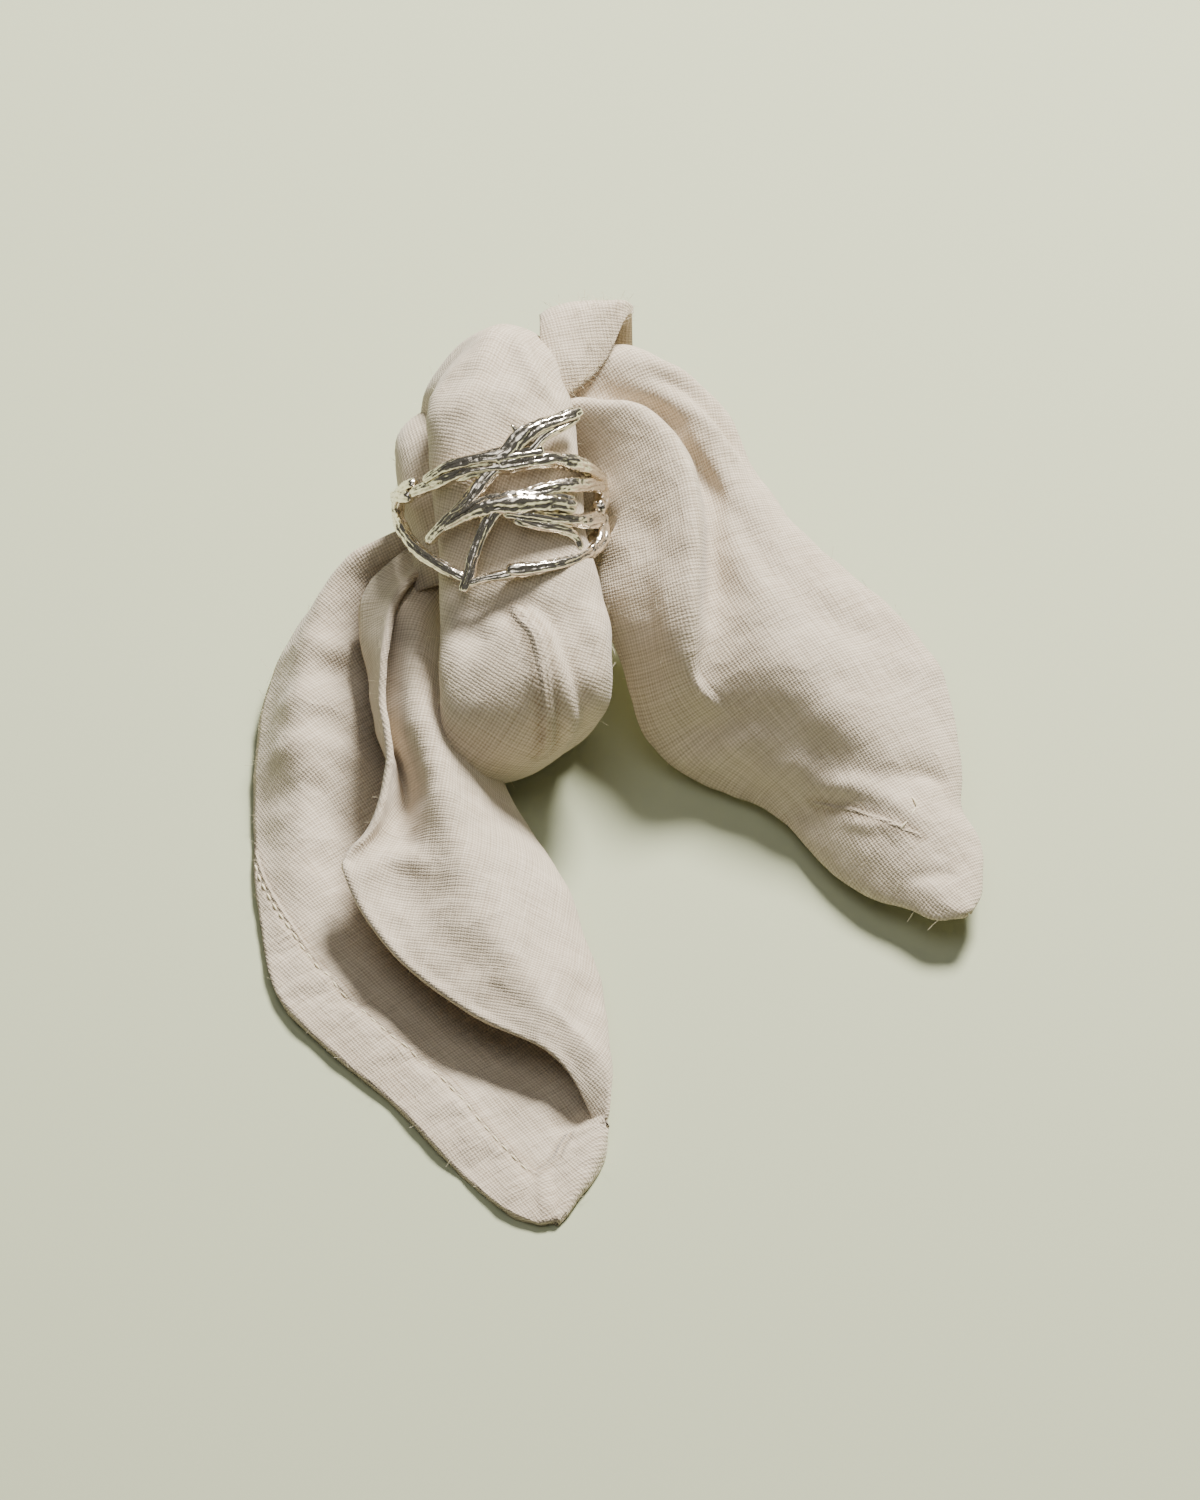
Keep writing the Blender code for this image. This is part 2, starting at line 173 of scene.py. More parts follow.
# The strand: x, y, z of its middle, the heading of its width, half width, half thickness.
BAND = (
    (-19, 30, 7.0, 8, 17, 6.0),
    (-20, 12, 8.0, 18, 17.5, 7.2),
    (-22, -2, 9.0, 28, 16.5, 8.2),
    (-20, -12, 20.0, 22, 18.5, 9.0),
    (-17.5, -8, 33.5, 10, 20.0, 9.6),
    (-18, 8, 39.0, 2, 19.0, 9.0),
    (-20.5, 26, 47.5, 0, 17.0, 8.8),
    (-22.5, 42, 58.0, 8, 17.0, 9.6),
    (-24, 55, 61.0, 20, 16.8, 10.0),
    (-24.8, 66, 57.0, 33, 14.2, 10.8),
    (-27, 72, 42.0, 28, 15.5, 11.0),
    (-26, 69, 22.0, 20, 16.5, 10.0),
    (-22, 58, 9.5, 10, 18, 8.5),
)

# The strand that leaves the ring for the left tail and goes down behind the knot.
LOBE = (
    (-34, 22, 30, -10, 10, 8),
    (-35, 35, 34, 0, 9, 8),
    (-37, 47, 38.0, 15, 9.5, 8),
    (-37, 57, 39.0, 25, 10.5, 9),
    (-36, 66, 34, 30, 12, 9),
    (-33, 70, 20, 25, 13, 9),
    (-28, 62, 10, 15, 14, 8),
    (-23, 50, 8.5, 9, 16, 7.4),
    (-20, 36, 8, 8, 16, 5.4),
    (-19, 25, 8, 10, 14.5, 4.4),
)

# Upright strips of the small loop: x, then foot, front, top, back, heel as (y, z).
TAB = (
    (-14, (64, 61), (69, 64.5), (78, 65), (83, 57), (78, 48)),
    (-11.5, (57, 59), (66, 64.5), (79.5, 66), (84, 57), (79, 47)),
    (-6, (60, 59.5), (68, 64.5), (81, 66.3), (85, 57), (79, 46)),
    (1, (68, 60.5), (75, 64.5), (82, 66), (86, 56), (79, 45)),
    (5.6, (78.5, 64), (80.4, 64.9), (82.8, 65), (84.2, 56), (80, 45)),
    (7.6, (81.6, 62.6), (82.4, 63.2), (83.2, 62.8), (83.8, 55), (81, 45)),
)

# Soft ridges and troughs: height, width, then places counted in the tables' rows and columns.
LEFT_BED_CREASES = (
    (1.1, 3, (2.5, 1.1), (2.2, 1.5), (1.9, 1.9)),
    (-0.9, 3.5, (2.7, 0.8), (2.6, 1.3), (2.5, 1.8)),
    (0.9, 4, (3.2, 0.4), (3.1, 0.9), (3.2, 1.5), (3.8, 1.8)),
    (0.8, 4, (3.7, 0), (3.9, 0.9), (3.9, 1.5), (4.4, 2)),
    (-0.8, 4, (4.6, 0), (4.6, 0.9), (4.8, 1.5), (5.3, 2)),
    (0.7, 4, (5.9, 0.1), (5.9, 0.9), (6.3, 1.6)),
    (0.8, 2.2, (8, 0), (7.7, 0.9), (8.1, 1.3)),
    (-0.6, 2.0, (8.6, 0.1), (8.2, 1), (8.3, 1.2)),
    (0.7, 2.2, (9.8, 0), (9.3, 1), (9.5, 1.1)),
    (0.6, 2.2, (10.9, 0), (10.6, 0.9), (10.8, 1)),
    (-0.6, 2.0, (11.8, 0), (11.5, 1.1)),
    (0.6, 2.0, (12.6, 0), (12, 1.6)),
    (0.8, 1.6, (11.9, 2.1), (13, 2.1)),
    (-0.8, 3, (11.2, 2.3), (10.9, 3)),
)
LEFT_FOLD_CREASES = (
    (-1.6, 3, (6.5, 7), (6.1, 6.9), (5.3, 6.7), (4.6, 6.6)),
    (1.3, 3, (6.8, 7), (6, 6.4), (6.4, 5.9)),
    (0.9, 4, (9.2, 6.8), (8.2, 5.6), (7.1, 5.1)),
    (0.8, 3, (10, 6.9), (9, 5.2), (7.4, 4.4)),
    (-0.7, 3, (10.3, 6.9), (9.2, 4.8), (8.1, 4.3)),
    (0.9, 3, (11.2, 7), (9.7, 4.4), (8.6, 4.3)),
    (1.0, 4, (3.4, 5.5), (4.5, 5.5), (6.2, 5.5), (7.9, 5.5), (9.2, 5.5)),
    (-0.8, 4, (5, 5.5), (6.8, 5.5), (8.5, 5.5)),
)
RIGHT_CREASES = (
    (1.2, 2.2, (1.1, 6.9), (1.7, 6.8), (2.2, 7.1), (2.7, 7.4), (3.2, 7.4), (4.1, 7.4)),
    (-1.3, 2.0, (1.3, 6.4), (1.8, 6.5), (2.3, 6.7), (2.8, 7), (3.4, 7.2), (4.3, 7.2)),
    (1.0, 2.2, (1, 6.2), (1.7, 6.2), (2.4, 6.4), (2.9, 6.7), (3.6, 7.1), (4.4, 7.1)),
    (-1.4, 3.5, (0.8, 6.1), (1.6, 6), (2.3, 6), (3.2, 6), (4.2, 6.3), (5.9, 6.6), (7.4, 6.7), (8.1, 6.8)),
    (1.2, 3, (1.3, 5.4), (1.7, 5.9), (2.5, 5.9), (3.3, 5.7), (4.2, 5.8)),
    (-3.2, 4.5, (2.4, 2.8), (3, 3.1), (3.6, 3.4)),
    (-0.8, 4, (3.3, 4), (4.4, 4.3), (5.7, 4.3), (6.7, 4)),
    (0.8, 5, (4.7, 4), (6, 4.7), (7.4, 4.8), (8, 3.9)),
    (1.4, 5, (8, 3.3), (8.8, 3.8), (9.1, 4.8), (9, 5.8)),
    (-1.2, 5, (8.4, 4.3), (8.7, 5.2), (8.5, 5.9)),
    (-1.3, 2.2, (10.2, 6.3), (9.8, 6.8), (9.8, 7.2)),
    (1.2, 2.5, (10.3, 5.3), (10.3, 6), (10.7, 6.2), (11.3, 6.3)),
    (-0.9, 3, (10.3, 3.5), (10.4, 5.2), (10.7, 5.6)),
    (0.9, 1.5, (10.7, 5.1), (11, 5.7), (11.1, 6), (11.6, 6.1)),
    (-1.0, 2.2, (12, 4.9), (12.2, 6.1), (12.4, 6.6)),
    (0.8, 5, (7.1, 6.2), (8.3, 6.2), (9.1, 6.3), (9.7, 6.5)),
    (-0.7, 6, (6.3, 6.4), (7.5, 6.5), (8.7, 6.6)),
    (0.7, 3, (9.6, 3.6), (9.7, 5.2), (9.8, 5.9)),
)
# Places of the hem's line where the strand's belly and the right tip show it, and of the tip's stitches.
BELLY_SEAM = ((4.95, 5.4), (4.55, 5), (4.15, 4.75), (3.8, 4.6), (3.5, 4.5), (3.2, 4.6), (2.9, 4.9))
TIP_SEAM = ((10.2, 4.6), (10.5, 5.2), (10.7, 5.7), (11.2, 6.1), (11.6, 6.4))
TIP_STITCHES = ((10.5, 6.5), (10.9, 6.4), (11.3, 6.0))
BELLY_SEAM_SPREAD = 1.6  # how many times wider than sewn the seam is pulled
TIP_SEAM_SPREAD = 1.3
BELLY_RIB = 0.8  # half width of the seam's rib as sewn
TIP_RIB = 0.2
SEAM_FADE = 0.08  # share of a seam's length over which it fades at each end
BAND_CREASES = (
    (-1.5, 5, (5.1, 6.4), (4.8, 6.4), (4.4, 6.4), (4, 6.2), (3.7, 6)),
    (1.6, 3, (4.8, 6), (4.3, 5.8), (4, 6.1), (3.8, 6.4)),
    (1.5, 2, (5, 5.5), (4.6, 5), (4.1, 4.8), (3.8, 4.7), (3.5, 4.6), (3.2, 4.8), (3, 5)),
    (1.6, 2, (4.8, 5.1), (4.4, 4.6), (4.1, 4.4), (3.8, 4.1), (3.5, 3.9), (3.2, 4.1), (2.9, 4.4)),
    (-1.8, 2.2, (4.9, 5), (4.5, 4.4), (4.1, 4), (3.8, 3.7), (3.4, 3.4), (3, 3.5)),
    (1.2, 5, (4.9, 2.9), (4.2, 2.8), (3.7, 3.2), (3.4, 4.2)),
    (-1.2, 3, (4.9, 3.9), (4.3, 3.6), (3.9, 3.3)),
    (-1.8, 3, (8.7, 2.8), (8.4, 3.3), (8, 3.1), (7.7, 2.9)),
    (-2.4, 9, (7.7, 8.2), (8.3, 7.3), (8.7, 6.4), (8.9, 5.2)),
    (1.2, 3, (7.5, 6.6), (8, 5.6), (8.5, 4.6), (9, 3.4)),
    (-1.1, 3, (7.4, 6), (7.9, 5), (8.4, 4.1)),
    (1.4, 2.4, (8.6, 3.5), (8.3, 3.7), (7.9, 3.6), (7.7, 3.1)),
    (0.9, 5, (8.1, 6.6), (8.4, 5.3), (8.6, 4.2)),
    (-0.8, 4, (8, 7.5), (8, 6.4), (8, 5.2)),
    (0.7, 5, (7.2, 7.6), (7.7, 5.7), (7.7, 4.1)),
)

LINEN_PALE = (0.810, 0.705, 0.555, 1.0)
LINEN_DEEP = (0.270, 0.200, 0.125, 1.0)
STITCH_COLOUR = (0.930, 0.830, 0.590, 1.0)
STITCH_SHADE = (0.6975, 0.6225, 0.4425, 1.0)
SILVER = (0.970, 0.885, 0.745, 1.0)
# BARK_SHADE is the painted shade in the furrows of the ring's bark.
BARK_SHADE = (0.260, 0.215, 0.140, 1.0)
FLOOR_COLOUR = (0.480, 0.515, 0.350, 1.0)
FLOOR_GRAIN = (0.4656, 0.49955, 0.3395, 1.0)


# ---------------------------------------------------------------- curves and surfaces


def smooth_curve(points, where):
    """Places on the smooth curve through the points; where counts points, and may fall between two."""
    points = np.asarray(points, float)
    where = np.clip(np.asarray(where, float), 0, len(points) - 1)
    start = np.minimum(where.astype(int), len(points) - 2)
    t = (where - start).reshape((-1,) + (1,) * (points.ndim - 1))
    around = np.concatenate([2 * points[:1] - points[1:2], points, 2 * points[-1:] - points[-2:-1]])
    a, b, c, d = (around[start + step] for step in range(4))
    bend = 2 * a - 5 * b + 4 * c - d
    twist = 3 * b - a - 3 * c + d
    return 0.5 * (2 * b + (c - a) * t + bend * t**2 + twist * t**3)


def even_places(points, count):
    """Places along a curve, evenly spaced by length."""
    fine = np.linspace(0, len(points) - 1, 30 * len(points))
    line = smooth_curve(points, fine)
    length = np.concatenate([[0], np.cumsum(np.linalg.norm(np.diff(line, axis=0), axis=1))])
    return np.interp(np.linspace(0, length[-1], count), length, fine)


def slice_points(row):
    x, y, heading, *places = row
    turn = math.radians(heading)
    across = np.array((math.cos(turn), math.sin(turn), 0.0))
    ahead = np.array((math.sin(turn), -math.cos(turn), 0.0))
    points = []
    for distance, height, *step in places:
        points.append(np.array((x, y, height)) + across * distance + ahead * sum(step))
    return np.array(points)


def loft(sections, rows, columns):
    """A grid of points on the smooth surface through the sections."""
    sections = np.asarray(sections, float)
    wires = smooth_curve(sections, even_places(sections.mean(axis=1), rows))
    middle = wires[len(wires) // 3]
    places = even_places(middle, columns)
    return np.array([smooth_curve(wire, places) for wire in wires])


def grid_normals(grid):
    normal = np.cross(np.gradient(grid, axis=0), np.gradient(grid, axis=1))
    length = np.linalg.norm(normal, axis=2, keepdims=True)
    return normal / np.maximum(length, TINY)


def grid_faces(rows, columns):
    i, j = np.meshgrid(np.arange(rows - 1), np.arange(columns - 1), indexing="ij")
    a = (i * columns + j).ravel()
    return np.stack([a, a + columns, a + columns + 1, a + 1], axis=1)


def coarse_places(size):
    """Every FLATTEN_STEP-th place of a grid's side, and its last."""
    return np.unique(np.append(np.arange(0, size, FLATTEN_STEP), size - 1))


def flattened(grid):
    """The cloth laid flat with the least stretch, in its own millimetres."""
    coarse = grid[np.ix_(*map(coarse_places, grid.shape[:2]))]
    rows, columns = coarse.shape[:2]
    mesh = bpy.data.meshes.new("flattening")
    mesh.from_pydata(coarse.reshape(-1, 3).tolist(), [], grid_faces(rows, columns).tolist())
    obj = bpy.data.objects.new("flattening", mesh)
    bpy.context.scene.collection.objects.link(obj)
    bpy.context.view_layer.objects.active = obj
    obj.select_set(True)
    mesh.uv_layers.new(name="flat")
    bpy.ops.object.mode_set(mode="EDIT")
    bpy.ops.mesh.select_all(action="SELECT")
    bpy.ops.uv.unwrap(method="MINIMUM_STRETCH", iterations=FLATTEN_ROUNDS, margin=0)
    bpy.ops.object.mode_set(mode="OBJECT")
    corners = np.zeros(len(mesh.loops), np.int32)
    mesh.loops.foreach_get("vertex_index", corners)
    uvs = np.zeros(2 * len(mesh.loops), np.float32)
    mesh.uv_layers["flat"].data.foreach_get("uv", uvs)
    flat = np.zeros((rows * columns, 2))
    flat[corners] = uvs.reshape(-1, 2)
    flat = flat.reshape(rows, columns, 2)
    bpy.data.objects.remove(obj)
    bpy.data.meshes.remove(mesh)
    true_length = np.linalg.norm(np.diff(coarse, axis=0), axis=2).sum()
    flat_length = np.linalg.norm(np.diff(flat, axis=0), axis=2).sum()
    return spread_out(flat * true_length / flat_length, grid.shape[:2])


def spread_out(coarse, shape):
    """A coarse grid of values carried over to every point of the fine grid."""
    places = [coarse_places(size) for size in shape]
    down = np.empty((shape[0], coarse.shape[1], coarse.shape[2]))
    for column in range(coarse.shape[1]):
        for k in range(coarse.shape[2]):
            down[:, column, k] = np.interp(np.arange(shape[0]), places[0], coarse[:, column, k])
    full = np.empty(shape + (coarse.shape[2],))
    for row in range(shape[0]):
        for k in range(coarse.shape[2]):
            full[row, :, k] = np.interp(np.arange(shape[1]), places[1], down[row, :, k])
    return full


def edge_distance(grid, seeds):
    """Shortest way over the cloth from each grid point to the nearest seed."""
    moves = [(1, 0), (0, 1), (1, 1), (1, -1), (1, 2), (2, 1), (1, -2), (2, -1)]
    found = np.full(grid.shape[:2], FAR)
    found[seeds] = 0
    rows, columns = found.shape
    steps = []
    for di, dj in moves:
        i0, i1 = max(0, -di), rows - max(0, di)
        j0, j1 = max(0, -dj), columns - max(0, dj)
        here = (slice(i0, i1), slice(j0, j1))
        there = (slice(i0 + di, i1 + di), slice(j0 + dj, j1 + dj))
        steps.append((here, there, np.linalg.norm(grid[here] - grid[there], axis=2)))
    for _ in range(rows + columns):
        before = found.copy()
        for here, there, length in steps:
            found[there] = np.minimum(found[there], found[here] + length)
            found[here] = np.minimum(found[here], found[there] + length)
        if np.allclose(before, found):
            break
    return found


def line_distance(points, line):
    """Distance from each point to a bent line, and how far along it the nearest place is, from 0 to 1."""
    best = np.full(points.shape[:-1], FAR)
    place = np.zeros(points.shape[:-1])
    for step, (a, b) in enumerate(zip(line, line[1:])):
        run = b - a
        t = np.clip(((points - a) @ run) / max(run @ run, TINY), 0, 1)
        gap = np.linalg.norm(points - (a + t[..., None] * run), axis=-1)
        closer = gap < best
        best = np.where(closer, gap, best)
        place = np.where(closer, (step + t) / (len(line) - 1), place)
    return best, place


class Sheet:
    """One stretch of the cloth as a grid, with what its mesh and material need."""

    def __init__(self, grid, table_shape):
        self.grid = grid
        self.table_shape = table_shape
        self.thickness = np.full(grid.shape[:2], CLOTH)
        self.seam = np.full(grid.shape[:2], NO_SEAM)
        self.flat = np.zeros(grid.shape[:2] + (2,))

    def index_at(self, place):
        """The grid's row and column at a place counted in the table's rows and columns."""
        return tuple(
            min(int(round(where / (count - 1) * (size - 1))), size - 1)
            for where, count, size in zip(place, self.table_shape, self.grid.shape)
        )

    def points_at(self, places):
        return np.array([self.grid[self.index_at(place)] for place in places])

    def flatten(self, start, end):
        """Lays the cloth flat and turns it so that a thread runs between two places."""
        flat = flattened(self.grid)
        run = flat[self.index_at(end)] - flat[self.index_at(start)]
        turn = complex(*run).conjugate() / abs(complex(*run))
        turned = (flat[..., 0] + 1j * flat[..., 1]) * turn
        self.flat = np.stack([turned.real, turned.imag], axis=2)

    def push(self, amount):
        self.grid = self.grid + grid_normals(self.grid) * amount[..., None]

    def crease(self, creases, side=1):
        """Soft ridges along lines, or troughs where the height is negative, that fade at their ends."""
        amount = np.zeros(self.grid.shape[:2])
        for height, width, *places in creases:
            line = self.points_at(places)
            line = smooth_curve(line, np.linspace(0, len(line) - 1, 10 * len(line)))
            gap, place = line_distance(self.grid, line)
            fade = np.clip(np.minimum(place, 1 - place) * 4, 0, 1)
            amount += side * height * np.exp(-((gap / width) ** 2)) * fade
        self.push(amount)

    def rib_distance(self, places, spread, half_width):
        """Seam values for a narrow rib of rolled hem along a line on the cloth."""
        line = self.points_at(places)
        line = smooth_curve(line, np.linspace(0, len(line) - 1, 12 * len(line)))
        gap, place = line_distance(self.grid, line)
        beyond = np.clip(SEAM_FADE - np.minimum(place, 1 - place), 0, SEAM_FADE) / SEAM_FADE
        return gap / spread + 3 * beyond - half_width

    def unevenness(self, size, height, seed):
        away = Vector((0, 0, seed))
        found = [noise.noise(Vector(point / size) + away) for point in self.grid.reshape(-1, 3)]
        self.push(np.array(found).reshape(self.grid.shape[:2]) * height)


def sheet_from_table(table, rows, columns):
    sections = [slice_points(row) for row in table]
    return Sheet(loft(sections, rows, columns), (len(table), len(sections[0])))


# ---------------------------------------------------------------- the cloth's stretches


def left_tail():
    sheet = sheet_from_table(LEFT_TAIL, rows=190, columns=96)
    sheet.unevenness(size=24, height=1.3, seed=3.1)
    sheet.unevenness(size=9, height=0.6, seed=7.7)
    sheet.unevenness(size=4.5, height=0.2, seed=8.8)
    sheet.crease(LEFT_BED_CREASES)
    sheet.crease(LEFT_FOLD_CREASES, side=-1)
    sheet.flatten((7.7, 0), (10.8, 0))
    rows, columns = sheet.grid.shape[:2]
    row = np.arange(rows)[:, None] * (len(LEFT_TAIL) - 1) / (rows - 1)
    edge = np.zeros((rows, columns), bool)
    edge[:, 0] = True
    corner = np.zeros((rows, columns), bool)
    corner[int(rows * CORNER_SHARE) :, -1] = True
    corner[-1] = True
    lip = np.zeros((rows, columns), bool)
    lip[:, -1] = True
    # Above its kink the hem turns under, so there its stitch line runs out over the edge.
    hidden = HEM_WIDTH * np.clip((HEM_FLAT_ROW - row) / (HEM_FLAT_ROW - KINK_ROW), 0, 3)
    to_edge = edge_distance(sheet.grid, edge) + hidden
    to_corner = edge_distance(sheet.grid, corner) + NO_HEM * (row < CORNER_ROW)
    sheet.seam = np.minimum(to_edge, to_corner) - HEM_WIDTH
    in_hem = 1 / (1 + np.exp(HEM_STEEPNESS * sheet.seam))
    to_lip = edge_distance(sheet.grid, lip)
    in_lip = np.exp(-((to_lip / LIP_WIDTH) ** 4)) * np.clip(LIP_LAST_ROW - row, 0, 1)
    sheet.thickness = CLOTH + np.maximum((LIP_THICKNESS - CLOTH) * in_lip, (HEM_THICKNESS - CLOTH) * in_hem)
    return sheet


def right_tail():
    sheet = sheet_from_table(RIGHT_TAIL, rows=178, columns=96)
    sheet.unevenness(size=26, height=1.3, seed=1.3)
    sheet.unevenness(size=10, height=0.55, seed=5.2)
    sheet.unevenness(size=4.5, height=0.2, seed=6.6)
    sheet.crease(RIGHT_CREASES)
    sheet.flatten((8.7, 4.6), (7.5, 6.6))
    sheet.seam = sheet.rib_distance(TIP_SEAM, TIP_SEAM_SPREAD, TIP_RIB)
    return sheet


def strand_frames(table, rows):
    """Middle, width direction, outward direction, half width and half thickness along a gathered strand."""
    table = np.asarray(table, float)
    line = smooth_curve(table, even_places(table[:, :3], rows))
    frames = []
    for row, run in zip(line, np.gradient(line[:, :3], axis=0)):
        turn = math.radians(row[3])
        level = np.array((math.cos(turn), math.sin(turn), 0.0))
        wide = level - run * (level @ run) / (run @ run)
        wide /= np.linalg.norm(wide)
        out = np.cross(wide, run)
        frames.append((row[:3], wide, out / np.linalg.norm(out), row[4], row[5]))
    return frames


def strand_skin(table, rows, columns, start, stop):
    """Skin of a gathered strand between two angles round it; 90 degrees is its outer side."""
    angle = np.radians(np.linspace(start, stop, columns))[:, None]
    fuller = np.sign(np.sin(angle)) * np.abs(np.sin(angle)) ** STRAND_FULLNESS
    grid = []
    for centre, wide, out, half_width, half_thickness in strand_frames(table, rows):
        grid.append(centre + wide * half_width * np.cos(angle) + out * half_thickness * fuller)
    return Sheet(np.array(grid), (len(table), STRAND_COLUMNS))


def band():
    sheet = strand_skin(BAND, rows=150, columns=60, start=-40, stop=220)
    sheet.unevenness(size=20, height=1.0, seed=2.2)
    sheet.unevenness(size=8, height=0.55, seed=6.1)
    sheet.crease(BAND_CREASES)
    sheet.flatten((8.0, 7.5), (7.2, 3))
    sheet.seam = sheet.rib_distance(BELLY_SEAM, BELLY_SEAM_SPREAD, BELLY_RIB)
    return sheet


def lobe():
    sheet = strand_skin(LOBE, rows=64, columns=28, start=-60, stop=240)
    sheet.unevenness(size=16, height=0.9, seed=9.4)
    sheet.flatten((3, 8), (3.4, 3))
    return sheet


def gathers():
    """The cloth folded back and forth inside the strand, out of sight."""
    inner = np.array(BAND, float)
    inner[:, 4:] -= GATHER_INSET
    grid = []
    for centre, wide, out, half_width, half_thickness in strand_frames(inner, GATHER_ROWS):
        wire = []
        for fold in range(GATHER_FOLDS):
            level = half_thickness * (1 - 2 * fold / (GATHER_FOLDS - 1))
            reach = half_width * math.sqrt(1 - (GATHER_TAPER * level / half_thickness) ** 2)
            for side in (-1, 0, 1) if fold % 2 else (1, 0, -1):
                wire.append(centre + wide * reach * side + out * level)
        grid.append(wire)
    sheet = Sheet(np.array(grid), (len(BAND), STRAND_COLUMNS))
    sheet.thickness[:] = GATHER_CLOTH
    return sheet


def tab():
    sections = [[(x, y, z) for y, z in strip] for x, *strip in TAB]
    sheet = Sheet(loft(sections, rows=40, columns=36), (len(TAB), 5))
    sheet.unevenness(size=9, height=0.5, seed=4.4)
    sheet.flatten((0.5, 2), (4.5, 2))
    return sheet


# ---------------------------------------------------------------- meshes


def add_mesh(name, points, faces, uvs=None, values=None):
    mesh = bpy.data.meshes.new(name)
    mesh.from_pydata((np.asarray(points) + SHIFT).tolist(), [], faces)
    mesh.transform(((MM, 0, 0, 0), (0, MM, 0, 0), (0, 0, MM, 0), (0, 0, 0, 1)))
    mesh.polygons.foreach_set("use_smooth", [True] * len(mesh.polygons))
    if uvs is not None:
        layer = mesh.uv_layers.new(name="Cloth")
        loops = np.zeros(len(mesh.loops), np.int32)
        mesh.loops.foreach_get("vertex_index", loops)
        layer.data.foreach_set("uv", np.asarray(uvs, np.float32)[loops].ravel())
    for key, found in (values or {}).items():
        attribute = mesh.attributes.new(key, "FLOAT", "POINT")
        attribute.data.foreach_set("value", np.asarray(found, np.float32))
    mesh.update()
    obj = bpy.data.objects.new(name, mesh)
    bpy.context.scene.collection.objects.link(obj)
    return obj


def tube_faces(start, steps, sides, capped=True):
    """Faces of a tube whose points are rings of this many sides, from the point numbered start."""
    faces = []
    for here in range(start, start + steps * sides, sides):
        for side in range(sides):
            a, b = here + side, here + (side + 1) % sides
            faces.append((a, b, b + sides, a + sides))
    if capped:
        last = start + steps * sides
        faces.append(tuple(start + side for side in range(sides))[::-1])
        faces.append(tuple(last + side for side in range(sides)))
    return faces


def sheet_mesh(sheet):
    """Both faces of a stretch of cloth and the strip round its border."""
    rows, columns = sheet.grid.shape[:2]
    normal = grid_normals(sheet.grid)
    half = sheet.thickness[..., None] / 2
    front, back = sheet.grid + normal * half, sheet.grid - normal * half
    points = np.concatenate([front.reshape(-1, 3), back.reshape(-1, 3)])
    points[:, 2] = np.maximum(points[:, 2], FLOOR_GAP)
    count = rows * columns
    quads = grid_faces(rows, columns)
    faces = [tuple(quad) for quad in quads.tolist()]
    faces += [tuple(quad) for quad in (quads + count)[:, ::-1].tolist()]
    border = [(0, j) for j in range(columns - 1)]
    border += [(i, columns - 1) for i in range(rows - 1)]
    border += [(rows - 1, j) for j in range(columns - 1, 0, -1)]
    border += [(i, 0) for i in range(rows - 1, 0, -1)]
    loop = [i * columns + j for i, j in border]
    faces += [(a, b, count + b, count + a) for a, b in zip(loop, loop[1:] + loop[:1])]
    uv = sheet.flat.reshape(-1, 2) * MM
    # The back's threads lie a little further on, so that they also run across the border's strip.
    back_uv = uv + sheet.thickness.reshape(-1, 1) * MM * BACK_STEP
    seam = sheet.seam.reshape(-1)
    return points, faces, np.concatenate([uv, back_uv]), np.concatenate([seam, seam])


def napkin(sheets):
    points, faces, uvs, seams = [], [], [], []
    start = 0
    for sheet in sheets:
        p, f, uv, seam = sheet_mesh(sheet)
        points.append(p)
        faces += [tuple(corner + start for corner in face) for face in f]
        uvs.append(uv)
        seams.append(seam)
        start += len(p)
    values = {"seam": np.concatenate(seams)}
    return add_mesh("napkin_cloth", np.concatenate(points), faces, np.concatenate(uvs), values)


# ---------------------------------------------------------------- ring

